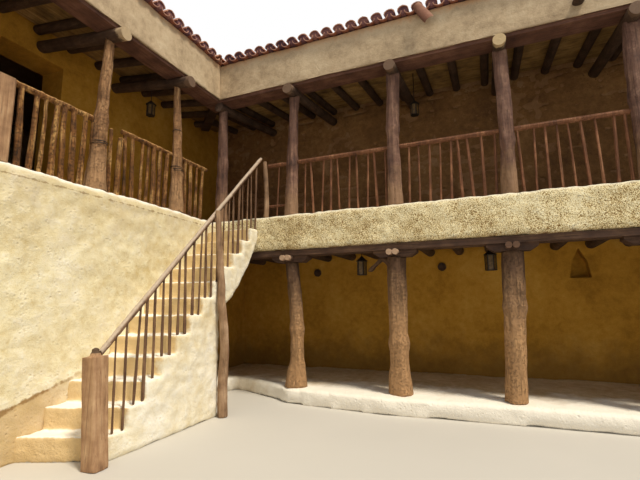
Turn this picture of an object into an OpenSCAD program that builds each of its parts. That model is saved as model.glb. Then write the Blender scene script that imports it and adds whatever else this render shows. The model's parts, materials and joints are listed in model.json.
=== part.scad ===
// Corner of a two-storey adobe courtyard house: two wings with timber galleries,
// a portico under the back gallery and a masonry stair along the left wing.
// The origin is the foot of the inner corner, on the ground. The back wing runs along +X
// and the left wing along -Y, so the courtyard is the quarter with x > 0 and y < 0.

/* [Plan] */
// Length of the left wing's courtyard face, inner corner to party wall
left_len = 5500; // [4800:50:7500]
// Length of the back wing's courtyard face, inner corner to party wall
back_len = 7400; // [6900:50:9500]
// Depth of both wings, courtyard face to outer face
wing_depth = 5900; // [5200:50:7500]
// Depth of the left gallery, courtyard face to room wall
left_gallery_d = 1500; // [1300:50:2000]
// Depth of the back gallery and of the portico below it
back_gallery_d = 2000; // [1700:50:2400]

/* [Walls] */
// Thickness of the left wing's ground wall
front_wall_t = 700; // [500:10:800]
// Thickness of the walls between rooms and galleries
room_wall_t = 450; // [300:10:600]
// Thickness of the outer walls
outer_wall_t = 500; // [400:10:700]
// Thickness of the two party walls
party_wall_t = 500; // [400:10:700]
// Width of the ledge along the back gallery's edge
ledge_w = 300; // [260:10:400]
// Thickness of the band below the joists' ends
band_t = 170; // [140:10:200]

/* [Levels] */
// Top of the ledge that the gallery railings stand on
ledge_z = 2750; // [2600:10:3000]
// Drop from the ledge to the gallery floor
ledge_step = 50; // [20:5:90]
// Thickness of the earth floor over the joists
floor_t = 340; // [200:10:380]
// Height of the plastered band along the back gallery's edge
band_h = 550; // [520:5:620]
// Top of the portico's raised floor
portico_z = 200; // [120:10:300]
// Underside of the gallery eaves beam
eaves_beam_z = 4850; // [4650:10:5100]
// Height of the plastered fascia above that underside
fascia_h = 685; // [620:5:760]

/* [Roof] */
// Rise of the roof in each 100 of run
roof_rise = 15; // [10:1:18]
// Thickness of the roof at its outer edge
roof_edge_t = 220; // [150:10:300]
// Distance between the roof's rows of tiles
tile_pitch = 200; // [180:10:240]
// Overhang past the outer walls
roof_overhang = 250; // [100:10:400]

/* [Timber] */
// Width of the flat eaves beam
eaves_beam_w = 300; // [240:10:380]
// Thickness of that beam at its front
eaves_beam_t = 70; // [60:5:120]
// Thickness of the fascia's plaster body
fascia_t = 180; // [140:10:220]
// Plaster that covers the front of the eaves beam
fascia_lip = 25; // [15:5:40]
// Drop of the beam below the fascia's lower edge
beam_reveal = 35; // [20:5:60]
// Diameter of the rafters
rafter_d = 130; // [100:5:160]
// Spacing of the rafters
rafter_step = 480; // [400:10:700]
// Diameter of the tie logs on the gallery posts
tie_d = 160; // [130:5:200]
// Depth of the seat cut into a tie log for the eaves beam
tie_seat = 55; // [30:5:65]
// How far the tie logs stand out past the fascia
tie_stub = 110; // [60:10:200]
// Depth of the portico beam
portico_beam_h = 85; // [70:5:140]
// Width of the portico beam
portico_beam_w = 260; // [200:10:300]
// Distance of the portico beam behind the band's face
portico_beam_in = 30; // [0:5:60]
// Height of the brackets on the portico posts
bracket_h = 95; // [80:5:150]
// Length of the brackets along the beam
bracket_l = 600; // [400:10:800]
// Diameter of the portico joists
joist_d = 160; // [120:5:160]
// Spacing of the portico joists
joist_step = 490; // [350:10:600]

/* [Posts] */
// Distance of the gallery posts behind the courtyard face
post_in = 170; // [140:5:200]
// Mean radius of the gallery posts
post_r = 100; // [80:5:130]
// Mean radius of the portico posts
portico_post_r = 125; // [100:5:150]
// Width of the squared block in the left railing
block_w = 260; // [220:10:320]
// Height of that block above the ledge
block_h = 850; // [700:10:950]

/* [Stair] */
// Width of the stair
stair_w = 800; // [700:10:1000]
// Number of risers up to the gallery ledge
risers = 13; // [12:1:15]
// Depth of each tread at the outer side
going = 214; // [200:2:240]
// How much further the lowest step reaches at the wall
step_skew = 330; // [0:10:400]
// Length of the open stretch under the stair's upper end
stair_open_l = 950; // [600:10:1100]
// Headroom under the stair where that stretch begins
stair_open_z = 1320; // [1200:10:1450]
// Thickness of the stair's upper end below the top step
stair_top_t = 130; // [100:10:200]
// Width of the squared newel at the stair's foot
newel_w = 165; // [140:5:260]
// Height of that newel
newel_h = 950; // [850:10:1100]
// Height of all handrails above the ledge or the nosings
rail_h = 880; // [800:10:1000]
// Radius of the gallery handrails
rail_r = 35; // [28:1:45]
// Spacing of the sticks in the gallery railings
stick_step = 135; // [110:5:180]
// Spacing of the thicker sticks in the left gallery's railing
left_stick_step = 112; // [95:1:160]
// Spacing of the sticks in the stair railing
stair_stick_step = 118; // [100:2:150]

/* [Openings] */
// Width of the doorways
door_w = 850; // [700:10:1000]
// Height of the upper doorway
door_h = 2150; // [1800:10:2150]
// Height of the portico doorway
portico_door_h = 1850; // [1700:10:1950]
// Distance of the upper doorway from the inner corner
upper_door_at = 1750; // [1000:10:3000]
// Distance of the portico doorway from the party wall
portico_door_in = 250; // [150:10:600]

/* [Hidden] */
eps = 0.01;
big = 30000;
slope = roof_rise / 100;
floor_z = ledge_z - ledge_step;
slab_z = floor_z - floor_t;
band_z = ledge_z - band_h;
beam_z = band_z - portico_beam_h;
bracket_z = beam_z - bracket_h;
fascia_z = eaves_beam_z + fascia_h;
rafter_drop = rafter_d * sqrt(1 + slope * slope);
// Upright thickness of cane, earth and tile bed, which fill up what beam and rafters leave
roof_t = fascia_h - eaves_beam_t - rafter_drop;
roof_edge_z = fascia_z - roof_edge_t;
ridge_m = wing_depth / 2;
// Mortar rib under a row of cover tiles: its height, and its width below and on top
rib_h = 74;
rib_w = 104;
rib_top = 60;
room_m = wing_depth - outer_wall_t;
riser = ledge_z / risers;
stair_slope = riser / going;
// Plan of the posts, as distances from the inner corner along each wing
portico_post_at = [1305, 2915, 4385, 5845];
back_post_at = [-40, 1350, 2975, 4425, 5900];
left_post_at = [850, 2080, 4300];
block_at = 3300;
top_post = [870, 110];
pole_at = -950;
// First rafter of each wing and first joist, from the inner corner; the joist lies behind it
left_rafter_0 = 240;
back_rafter_0 = 410;
joist_0 = -280;
// Stretch beside the second left post where the sticks have lost their handrail
bare_l = 260;
// Doorway of the portico, measured along the back wing
portico_door_at = back_len - portico_door_in - door_w;

// Height of the roof's top and of its underside, at a distance m behind the courtyard face
function roof_top(m) = fascia_z + slope * min(m, wing_depth - m);
function roof_under(m) = roof_top(m) - roof_t;
function outer_under(m) =
    let (k = (wing_depth - m) / (wing_depth - ridge_m))
    roof_edge_z + k * (roof_under(ridge_m) - roof_edge_z);
function beam_top(m) = roof_under(m) - rafter_drop;
// Height of a tie log's axis, which runs parallel to the rafters
function tie_axis_z(m) =
    eaves_beam_z + tie_seat + slope * (m - fascia_lip - eaves_beam_w) - tie_d / 2 * sqrt(1 + slope * slope);

// The left wing is the back wing's mirror image about the plan's diagonal
module left_wing() mirror([1, 1, 0]) children();

// A solid whose section lies in the depth and height plane, from one length to another
module along(a, b, section) {
    translate([b, 0, 0])
        rotate([90, 0, -90])
            linear_extrude(b - a)
                polygon([for (p = section) [-p[0], p[1]]]);
}

// The part of such a solid that lies over a plan, which ends it in a mitre where two wings meet
module mitred(section, plan) {
    intersection() {
        along(-wing_depth - roof_overhang - 1, big, section);
        linear_extrude(big) polygon(plan);
    }
}

// A log parallel to the rafters, at length u and with its axis at height z on the courtyard face
module sloping_log(u, z, r) {
    translate([u, 0, z])
        rotate([-90 + atan(slope), 0, 0])
            cylinder(h = big / 4, r = r, center = true, $fn = 24);
}

function arc(centre, r, from, to, n = 4) =
    [for (i = [0 : n]) let (a = from + (to - from) * i / n) centre + r * [cos(a), sin(a)]];

// A rough log or post: rings of points at stations [height, offset x, offset y, radius]
function log_ring(s, sides, seed) = [
    for (i = [0 : sides - 1])
        let (
            a = 360 * i / sides,
            k = 1 + 0.07 * sin(2 * a + 70 * seed + s[0] / 9) + 0.05 * sin(3 * a + 130 * seed - s[0] / 7)
        )
        [s[1] + s[3] * k * cos(a), s[2] + s[3] * k * sin(a), s[0]]
];
module log_post(stations, seed = 1, sides = 10) {
    rings = len(stations);
    points = [for (s = stations) each log_ring(s, sides, seed)];
    sides_up = [
        for (k = [0 : rings - 2], i = [0 : sides - 1])
            let (j = (i + 1) % sides, a = k * sides, b = a + sides)
            each [[a + i, b + i, b + j], [a + i, b + j, a + j]]
    ];
    foot = [for (i = [0 : sides - 1]) i];
    head = [for (i = [sides - 1 : -1 : 0]) (rings - 1) * sides + i];
    polyhedron(points, concat([foot], sides_up, [head]), convexity = 4);
}

// Stations of a post from z0 to z1 that leans, bends, tapers upwards and flares at its foot
function post_stations(z0, z1, r, lean, bend, flare, knot, taper = 1) = [
    for (t = [0, 0.08, 0.22, knot - 0.06, knot, knot + 0.07, 0.68, 0.86, 1])
        let (
            swell = (t < 0.2 ? 1 + (flare - 1) * (0.2 - t) / 0.2 : 1) + (t == knot ? 0.14 : 0),
            side = bend * sin(180 * t)
        )
        [z0 + (z1 - z0) * t, lean[0] * t + side, lean[1] * t - side / 2, r * swell * (1 + (taper - 1) * t)]
];

// Walls and floors. The portico floor's worn edge starts behind the stair, then swings out past the posts
kerb_in = [[0, 0], [60, 560], [300, 520], [1060, 150], [1300, -20]];
kerb_bulge = arc([2780, 300], 480, 250, 290, 3);
kerb_out = [[4400, -90], [back_len, -60]];
module portico_floor() {
    color("#b89a6e")
        linear_extrude(portico_z)
            polygon(concat(
                [[-front_wall_t, 0]], kerb_in, kerb_bulge, kerb_out,
                [[back_len, back_gallery_d], [-front_wall_t, back_gallery_d]]
            ));
}

module left_front_wall() {
    kerb_t = front_wall_t / 2;
    color("#e8d6a4")
        left_wing()
            along(0, left_len, concat(
                [[0, 0], [0, ledge_z - 90]],
                arc([90, ledge_z - 90], 90, 180, 90),
                [[kerb_t, ledge_z], [kerb_t, slab_z], [front_wall_t, slab_z], [front_wall_t, 0]]
            ));
}

// A party wall closes a wing, storey over storey, up to the underside of the roof
module party_wall() {
    front = [[0, 0], [0, fascia_z], [fascia_t, fascia_z], [fascia_t, roof_under(fascia_t)]];
    rear = [[ridge_m, roof_under(ridge_m)], [wing_depth, roof_edge_z], [wing_depth, 0]];
    along(0, party_wall_t, concat(front, rear));
}

module left_end_wall() {
    color("#d9bd86") left_wing() translate([left_len, 0, 0]) party_wall();
}

module back_end_wall() {
    color("#d9bd86") translate([back_len, 0, 0]) party_wall();
}

module outer_wall(len) {
    mitred(
        [[room_m, 0], [room_m, outer_under(room_m)], [wing_depth, roof_edge_z], [wing_depth, 0]],
        [[-room_m, room_m], [len, room_m], [len, wing_depth], [-wing_depth, wing_depth]]
    );
}

module left_outer_wall() {
    color("#d9bd86") left_wing() outer_wall(left_len);
}

module back_outer_wall() {
    color("#d9bd86") outer_wall(back_len);
}

module portico_end_wall() {
    color("#c79a45")
        translate([-front_wall_t - room_wall_t, -room_wall_t, 0])
            cube([room_wall_t, back_gallery_d + room_wall_t, slab_z]);
}

module portico_back_wall() {
    from = -front_wall_t - room_wall_t;
    niche = [5420, back_gallery_d, 1750];
    color("#c79a45")
        difference() {
            translate([from, back_gallery_d, 0])
                cube([back_len - from, room_wall_t, slab_z]);
            translate([portico_door_at, back_gallery_d - 1, -1])
                cube([door_w, room_wall_t + 2, portico_z + portico_door_h + 1]);
            translate(niche)
                rotate([90, 0, 0])
                    linear_extrude(400, center = true)
                        polygon([[-148, 0], [148, 0], [108, 250], [0, 470], [-108, 250]]);
        }
}

// Upper wall of the rooms, cut to the sloping roof above it
module room_wall(from, to, m) {
    top = roof_under(back_gallery_d) + room_wall_t / 2;
    difference() {
        along(from, to, [[m, floor_z], [m, top], [m + room_wall_t, top], [m + room_wall_t, floor_z]]);
        children();
    }
}

module left_gallery_wall() {
    color("#cfa965")
        left_wing()
            room_wall(-back_gallery_d, left_len, left_gallery_d) {
                inner_roof(left_len);
                left_wing() inner_roof(back_len);
                translate([upper_door_at, left_gallery_d - 1, floor_z - 1])
                    cube([door_w, room_wall_t + 2, door_h + 1]);
            }
}

module back_gallery_wall() {
    color("#8f6a3c")
        room_wall(-left_gallery_d - room_wall_t, back_len, back_gallery_d) inner_roof(back_len);
}

module left_upper_floor() {
    kerb_t = front_wall_t / 2;
    color("#a98a5c")
        translate([-room_m, -left_len, slab_z])
            cube([room_m - kerb_t, left_len + ledge_w, floor_t]);
}

module back_upper_floor() {
    color("#a98a5c")
        translate([-room_m, ledge_w, slab_z])
            cube([room_m + back_len, room_m - ledge_w, floor_t]);
}

// The band is the plastered edge of the gallery floor, standing on the portico beam
module gallery_band() {
    color("#e3cf9c")
        along(-front_wall_t / 2, back_len, concat(
            arc([60, band_z + 60], 60, 270, 180),
            arc([70, ledge_z - 70], 70, 180, 90),
            [[ledge_w, ledge_z], [ledge_w, slab_z], [band_t, slab_z], [band_t, band_z]]
        ));
}

// Portico timber
module portico_beam() {
    color("#5a4230")
        translate([-front_wall_t, portico_beam_in, beam_z])
            cube([front_wall_t + back_len, portico_beam_w, portico_beam_h]);
}

module portico_joists() {
    r = joist_d / 2;
    color("#4a382b")
        for (x = [joist_0 : joist_step : back_len - joist_d])
            translate([x, band_t, slab_z - r])
                rotate([-90, 0, 0])
                    cylinder(h = back_gallery_d - band_t, r = r, $fn = 24);
}

module portico_post(i) {
    lean = [[-60, 0], [0, 0], [80, 0], [30, 0]][i];
    bend = [55, -10, 12, -30][i];
    flare = [1.6, 1.25, 1.1, 1.3][i];
    knot = [0.45, 0.36, 0.62, 0.5][i];
    r = portico_post_r * [0.86, 1.08, 1.03, 1][i];
    translate([portico_post_at[i] - lean[0], post_in, 0])
        log_post(post_stations(portico_z, bracket_z, r, lean, bend, flare, knot), seed = i + 1);
}

// The second post keeps the fork of a branch that props the beam, and a stub below it
module fork(x) {
    top = [x - 250, post_in, beam_z];
    crook = [x - 180, post_in, beam_z - 80];
    difference() {
        union() {
            stick([x - 30, post_in, bracket_z - 190], top, 46, 40, 8);
            stick([x - 380, post_in, bracket_z - 180], crook, 40, 46, 8);
        }
        portico_brackets();
    }
}

module portico_posts() {
    color("#8a6f58") {
        for (i = [0, 2, 3]) portico_post(i);
        union() {
            portico_post(1);
            fork(portico_post_at[1]);
        }
    }
}

// Brackets lie under the beam, on pairs of short logs whose ends stand out to the courtyard
module portico_brackets() {
    w = portico_beam_w * 0.7;
    half = bracket_l / 2;
    nib = 90;
    stub_r = bracket_h * 0.42;
    stub_out = 130;
    stub_in = 30;
    color("#54402f")
        for (x = portico_post_at)
            translate([x, portico_beam_in + portico_beam_w / 2, bracket_z]) {
                rotate([90, 0, 0])
                    linear_extrude(w, center = true)
                        polygon([
                            [-half, bracket_h], [-half, bracket_h * 0.6], [-half + nib, 0],
                            [half - nib, 0], [half, bracket_h * 0.6], [half, bracket_h]
                        ]);
                for (side = [-1, 1])
                    translate([side * (stub_r + 2), portico_beam_w / 2 + stub_in, bracket_h - stub_r])
                        rotate([90, 0, 0])
                            cylinder(h = stub_in + portico_beam_w + stub_out, r = stub_r, $fn = 24);
            }
}

// Stair
function nose_y(i) = -(risers - i) * going;
function nose_skew(i) = step_skew * (risers - i) / (risers - 1);
ramp_drop = 20;
ramp_z0 = (risers - 1) * riser - ramp_drop;
ramp_foot = -ramp_z0 / stair_slope;
function ramp_z(y) = ramp_z0 + stair_slope * y;

module across_stair(section) {
    rotate([90, 0, 90])
        linear_extrude(stair_w)
            polygon(section);
}

module stair_base() {
    color("#e6d9b4")
        across_stair([[ramp_foot, 0], [-stair_open_l, 0], [-stair_open_l, ramp_z(-stair_open_l)]]);
}

// The curved underside springs from the solid flank and steepens towards the gallery
arch_bow = 0.43;
module stair_half_arch() {
    rise = ramp_z(0) - stair_top_t - stair_open_z;
    soffit = [
        for (t = [0 : 0.125 : 1])
            [stair_open_l * (t - 1), stair_open_z + rise * (arch_bow * t + (1 - arch_bow) * t * t)]
    ];
    color("#e6d9b4")
        across_stair(concat([[-stair_open_l, ramp_z(-stair_open_l)]], soffit, [[0, ramp_z(0)]]));
}

module stair_steps() {
    joint = 2;
    color("#efe4c4")
        for (i = [1 : risers - 1])
            intersection() {
                linear_extrude(i * riser)
                    polygon([
                        [0, nose_y(i) - nose_skew(i)], [stair_w, nose_y(i)],
                        [stair_w, nose_y(i + 1) - joint], [0, nose_y(i + 1) - nose_skew(i + 1) - joint]
                    ]);
                across_stair([
                    [-big, 0], [ramp_foot, 0], [0, ramp_z(0)], [0, big], [-big, big]
                ]);
            }
}

newel_x = stair_w + 40;
newel_y = nose_y(1) - 90 - newel_w / 2;

module stair_newel() {
    lean = 5;
    cap = [[0, 0], [42, 0], [46, 22], [30, 45], [34, 62], [0, 80]];
    color("#7d5a43")
        intersection() {
            translate([newel_x, newel_y, 0])
                rotate([0, -lean, 0]) {
                    translate([0, 0, -newel_w])
                        linear_extrude(newel_w + newel_h) scale(newel_w) hewn_square();
                    translate([0, 0, newel_h]) rotate_extrude($fn = 24) polygon(cap);
                }
            translate([-big / 2, -big / 2, 0]) cube(big);
        }
}

// The section of a roughly squared post, one unit wide
module hewn_square() {
    polygon([
        [-0.5, -0.42], [-0.42, -0.5], [0.4, -0.476], [0.5, -0.38],
        [0.476, 0.42], [0.388, 0.5], [-0.428, 0.5], [-0.484, 0.396]
    ]);
}

// A stick with flat ends, from one point up to another
module stick(a, b, r0, r1, sides = 6) {
    hull() {
        translate(a) cylinder(h = 1, r = r0, $fn = sides);
        translate([b[0], b[1], b[2] - 1]) cylinder(h = 1, r = r1, $fn = sides);
    }
}

rail_x = stair_w - 45;
stair_rail_r = 38;
function stair_rail_z(y) = ledge_z + rail_h + stair_slope * y;
function tread_z(y) = (risers - ceil(-y / going)) * riser;

module stair_railing() {
    y0 = newel_y + newel_w / 2;
    n = floor((top_post[1] - y0 - 2 * stair_stick_step) / stair_stick_step);
    lean = rands(-35, 35, n + 1, 7);
    thick = rands(14, 23, n + 1, 8);
    color("#6b5140")
        difference() {
            union() {
                hull()
                    for (y = [y0 - 60, top_post[1]])
                        translate([rail_x, y, stair_rail_z(y)])
                            rotate([90, 0, 0])
                                cylinder(h = 1, r = stair_rail_r, $fn = 8, center = true);
                for (i = [0 : n])
                    let (
                        y = nose_y(1) + 60 + i * stair_stick_step,
                        foot = y < -eps ? tread_z(y) : ledge_z,
                        head_y = min(y + lean[i], 60),
                        head = [rail_x, head_y, stair_rail_z(head_y)]
                    )
                    if (y < 40) stick([rail_x, y, foot], head, thick[i], thick[i] * 0.8);
            }
            stair_newel();
            stair_poles();
        }
}

module stair_poles() {
    pole_x = rail_x + stair_rail_r + 26;
    pole_top = stair_rail_z(pole_at - 120) + 60;
    color("#5f4a3a") {
        log_post([
            [0, pole_x + 60, pole_at, 66], [500, pole_x + 50, pole_at - 5, 60],
            [1100, pole_x + 52, pole_at - 60, 58], [1650, pole_x + 44, pole_at - 70, 54],
            [2200, pole_x + 20, pole_at - 110, 46], [pole_top, pole_x, pole_at - 120, 38]
        ], seed = 5, sides = 8);
        log_post([
            [ledge_z, top_post[0], top_post[1], 42], [ledge_z + 300, top_post[0] + 8, top_post[1], 36],
            [ledge_z + 620, top_post[0] - 6, top_post[1], 38],
            [ledge_z + rail_h + 60, top_post[0] - 30, top_post[1], 34]
        ], seed = 6, sides = 8);
    }
}

// Gallery posts, each with its own lean and bend, hollowed at the top to hold the tie log
module gallery_post(at, i) {
    lean = [[0, 0], [60, 0], [30, 0], [10, 0], [0, 0], [60, 20], [-30, -30], [20, 0]][i];
    bend = [20, -15, -30, 18, -20, -25, 25, 20][i];
    flare = [1.1, 1.1, 1.1, 1.1, 1.2, 1.15, 1.2, 1.3][i];
    knot = [0.5, 0.42, 0.58, 0.36, 0.5, 0.3, 0.45, 0.6][i];
    taper = [0.8, 0.8, 1, 0.9, 0.9, 0.62, 0.56, 0.7][i];
    r = post_r * [1, 1, 1, 1, 1, 1.05, 1.2, 1.1][i];
    head_z = tie_axis_z(post_in) - tie_d / 4;
    difference() {
        translate([at - lean[0], post_in - lean[1], 0])
            log_post(post_stations(ledge_z, head_z, r, lean, bend, flare, knot, taper), seed = i + 11);
        sloping_log(at, tie_axis_z(0), tie_d / 2);
    }
}

module back_gallery_posts() {
    color("#7b6150") for (i = [0 : len(back_post_at) - 1]) gallery_post(back_post_at[i], i);
}

module left_gallery_posts() {
    color("#a27b52") left_wing() for (i = [0 : len(left_post_at) - 1]) gallery_post(left_post_at[i], 5 + i);
}

module rail_block() {
    color("#a87445")
        left_wing()
            translate([block_at, post_in, ledge_z])
                linear_extrude(block_h) scale(block_w) hewn_square();
}

// One panel: a handrail and its sticks, from length a to length b along a wing.
// The handrail may end short of b.
module railing(a, b, seed, r_stick, step, bare = 0) {
    n = floor((b - a - step) / step);
    gap = (b - a) / (n + 1);
    lean = rands(-45, 45, n + 1, seed);
    thick = rands(0.75, 1.25, n + 1, seed + 50);
    out = rands(-12, 12, n + 1, seed + 90);
    rail_z = ledge_z + rail_h;
    m0 = post_in + 20;
    hull()
        for (u = [a, b - bare])
            translate([u, m0, rail_z])
                rotate([0, 90, 0])
                    cylinder(h = 1, r = rail_r, $fn = 8, center = true);
    for (i = [1 : n])
        let (
            u = a + i * gap,
            r = r_stick * thick[i],
            free = u > b - bare - 30,
            head = [u + (free ? -lean[i] / 2 : lean[i]), m0, rail_z - (free ? 60 + lean[i] : 0)]
        )
        stick([u, m0 + out[i], ledge_z], head, r, r * 0.85);
}

// The short panel at the stair's top has a second, lower bar
module low_bar() {
    hull()
        for (x = [top_post[0], back_post_at[1]])
            translate([x, post_in + 20, ledge_z + 200])
                rotate([0, 90, 0])
                    cylinder(h = 1, r = 22, $fn = 8, center = true);
}

module back_railings() {
    stops = concat([top_post[0]], [for (i = [1 : len(back_post_at) - 1]) back_post_at[i]], [back_len]);
    color("#8a5636")
        for (i = [0 : len(stops) - 2])
            difference() {
                union() {
                    let (
                        from = stops[i] + (i == 0 ? 0 : 20),
                        to = stops[i + 1] - (i == len(stops) - 2 ? 0 : 20)
                    )
                        railing(from, to, 20 + i, 17, stick_step);
                    if (i == 0) low_bar();
                }
                if (i > 0) gallery_post(back_post_at[i], i);
                if (i == 0) stair_poles();
                if (i < len(stops) - 2) gallery_post(back_post_at[i + 1], i + 1);
            }
}

module left_railings() {
    stops = concat([0], left_post_at, [left_len]);
    color("#b5713c")
        left_wing()
            for (i = [0 : len(stops) - 2])
                difference() {
                    railing(
                        stops[i] + (i == 0 ? 60 : 20), stops[i + 1] - (i == len(stops) - 2 ? 0 : 20), 30 + i,
                        33, left_stick_step, i == 1 ? bare_l : 0
                    );
                    if (i > 0) gallery_post(left_post_at[i - 1], 4 + i);
                    if (i < len(stops) - 2) gallery_post(left_post_at[i], 5 + i);
                    if (i == 2) left_wing() rail_block();
                }
}

// Eaves beam, fascia, ties and rafters of one wing
module eaves_beam(from, to) {
    inner = fascia_lip + eaves_beam_w;
    along(from, to, [
        [fascia_lip, eaves_beam_z], [fascia_lip, beam_top(fascia_lip)], [inner, beam_top(inner)],
        [inner, eaves_beam_z]
    ]);
}

module left_eaves_beam() {
    color("#7a4f36") left_wing() eaves_beam(0, left_len);
}

module back_eaves_beam() {
    color("#6d4832") eaves_beam(-fascia_lip - eaves_beam_w, back_len);
}

module fascia(from, to) {
    low = eaves_beam_z + beam_reveal;
    along(from, to, [
        [0, low], [0, fascia_z], [fascia_t, fascia_z], [fascia_t, beam_top(fascia_t)],
        [fascia_lip, beam_top(fascia_lip)], [fascia_lip, low]
    ]);
}

module left_fascia() {
    color("#dcc79c") left_wing() fascia(0, left_len);
}

module back_fascia() {
    color("#dcc79c") fascia(-fascia_t, back_len);
}

module tie(u, from, depth) {
    difference() {
        intersection() {
            sloping_log(u, tie_axis_z(0), tie_d / 2);
            translate([u - tie_d, from, 0]) cube([2 * tie_d, depth - from, big]);
        }
        eaves_beam(u - tie_d, u + tie_d);
    }
}

module left_ties() {
    color("#5b4434") left_wing() for (u = left_post_at) tie(u, -tie_stub, left_gallery_d);
}

module back_ties() {
    color("#5b4434") {
        tie(back_post_at[0], fascia_lip, back_gallery_d);
        for (i = [1 : len(back_post_at) - 1]) tie(back_post_at[i], -tie_stub, back_gallery_d);
    }
}

module rafter(u, from, depth) {
    intersection() {
        sloping_log(u, roof_under(0) - rafter_drop / 2, rafter_d / 2);
        translate([u - rafter_d, from, 0]) cube([2 * rafter_d, depth - from, big]);
    }
}

// Rafters of one wing, and the short ones that start from the valley rafter
module rafters(first, len, depth) {
    for (u = [first : rafter_step : len - rafter_d]) rafter(u, fascia_t, depth);
    for (u = [first - rafter_step : -rafter_step : rafter_d - left_gallery_d])
        difference() {
            rafter(u, max(-u, fascia_t), depth);
            valley_rafter();
        }
}

module left_rafters() {
    color("#4d3a2d") left_wing() rafters(left_rafter_0, left_len, left_gallery_d);
}

module back_rafters() {
    color("#4d3a2d") rafters(back_rafter_0, back_len, back_gallery_d);
}

// The rafter under the roof's valley, over the gallery corner
module valley_rafter() {
    w = 160;
    d0 = fascia_t * sqrt(2);
    d1 = left_gallery_d * sqrt(2) - w / 2;
    lift = 12;
    color("#4d3a2d")
        rotate([0, 0, 135])
            rotate([90, 0, 0])
                linear_extrude(w, center = true)
                    polygon([
                        [d0, beam_top(d0 / sqrt(2)) + lift], [d1, beam_top(d1 / sqrt(2)) + lift],
                        [d1, roof_under(d1 / sqrt(2))], [d0, roof_under(d0 / sqrt(2))]
                    ]);
}

// Earth of a roof up to its tiles, with the mortar rib that each row of cover tiles sits on.
// It rises from the height fascia_z at depth m, by the angle tilt.
module tile_bed(end, m, tilt) {
    far = -wing_depth - roof_overhang - 1;
    rows = floor((end - far) / tile_pitch);
    ribs = [
        for (i = [0 : rows - 1])
            let (u = end - (i + 0.5) * tile_pitch)
            each [[u + rib_w / 2, 0], [u + rib_top / 2, rib_h], [u - rib_top / 2, rib_h], [u - rib_w / 2, 0]]
    ];
    translate([0, m, fascia_z])
        rotate([90 + tilt, 0, 0])
            linear_extrude(big, center = true)
                polygon(concat([[end + 1, -wing_depth], [end + 1, 0]], ribs, [[far, 0], [far, -wing_depth]]));
}

// Roof slopes, mitred over the plan's diagonal
module inner_roof(len) {
    end = len + party_wall_t;
    intersection() {
        mitred(
            [
                [fascia_t, roof_under(fascia_t)], [fascia_t, fascia_z + fascia_h],
                [ridge_m, fascia_z + fascia_h], [ridge_m, roof_under(ridge_m)]
            ],
            [[-fascia_t, fascia_t], [end, fascia_t], [end, ridge_m], [-ridge_m, ridge_m]]
        );
        tile_bed(end, 0, atan(slope));
    }
}

module outer_roof(len) {
    end = len + party_wall_t;
    edge = wing_depth + roof_overhang;
    intersection() {
        mitred(
            [
                [ridge_m, roof_under(ridge_m)], [ridge_m, fascia_z + fascia_h], [edge, fascia_z + fascia_h],
                [edge, roof_top(edge) - roof_edge_t], [wing_depth, roof_edge_z]
            ],
            [[-ridge_m, ridge_m], [end, ridge_m], [end, edge], [-edge, edge]]
        );
        tile_bed(end, wing_depth, -atan(slope));
    }
}

module left_inner_roof() {
    color("#b5694a") left_wing() inner_roof(left_len);
}

module left_outer_roof() {
    color("#b5694a") left_wing() outer_roof(left_len);
}

module back_inner_roof() {
    color("#b5694a") inner_roof(back_len);
}

module back_outer_roof() {
    color("#b5694a") outer_roof(back_len);
}

// Small lanterns: six glazed sides, a peaked cap and a rod. They hang from two joists,
// from a rafter of the left wing and from the roof between two rafters of the back wing.
// The two of the portico are larger by low_lantern.
lantern_h = 190;
lantern_cap_h = 70;
low_lantern = 1.2;
module lantern(at, rod, k = 1) {
    h = lantern_h * k;
    cap = lantern_cap_h * k;
    translate([at[0], at[1], at[2] - h - cap]) {
        cylinder(h = h, r = 70 * k, $fn = 6);
        translate([0, 0, h])
            rotate_extrude($fn = 24)
                polygon([[0, 0], [82 * k, 0], [30 * k, cap * 0.7], [12, cap], [0, cap]]);
        translate([0, 0, h + cap - 1])
            cylinder(h = rod + 1, r = 6, $fn = 16);
    }
}

module lanterns() {
    low_z = slab_z - joist_d - 40;
    high_z = eaves_beam_z - 150;
    roof_rod = roof_under(back_gallery_d / 2) + 40 - high_z;
    left_in = 820;
    rafter_rod = roof_under(left_in) - rafter_drop / 2 - high_z;
    color("#2c2a28") {
        for (i = [5, 9])
            difference() {
                lantern([joist_0 + i * joist_step, back_gallery_d / 2, low_z], joist_d, low_lantern);
                portico_joists();
            }
        difference() {
            lantern([3140, back_gallery_d / 2, high_z], roof_rod);
            back_inner_roof();
        }
        difference() {
            left_wing() lantern([left_rafter_0 + rafter_step, left_in, high_z], rafter_rod);
            left_rafters();
        }
    }
}

portico_floor();
left_front_wall();
left_end_wall();
left_outer_wall();
back_outer_wall();
back_end_wall();
portico_end_wall();
portico_back_wall();
left_gallery_wall();
back_gallery_wall();
left_upper_floor();
back_upper_floor();
gallery_band();
portico_beam();
portico_joists();
portico_posts();
portico_brackets();
stair_base();
stair_half_arch();
stair_steps();
stair_newel();
stair_railing();
stair_poles();
left_railings();
back_railings();
left_gallery_posts();
back_gallery_posts();
rail_block();
left_eaves_beam();
back_eaves_beam();
left_ties();
back_ties();
left_fascia();
back_fascia();
left_rafters();
back_rafters();
valley_rafter();
left_inner_roof();
left_outer_roof();
back_inner_roof();
back_outer_roof();
lanterns();
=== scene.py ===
# %% [markdown]
# # Adobe courtyard house, inner corner
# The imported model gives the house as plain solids: walls, logs, stair and sloping roofs, each in
# its real place. This file dresses those solids. Plaster gets its hand-made waves, logs their
# bark rings and cracks, and the roofs, ceilings and gallery wall get the tiles, canes and adobes
# that are too many and too small to be solids.

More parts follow.
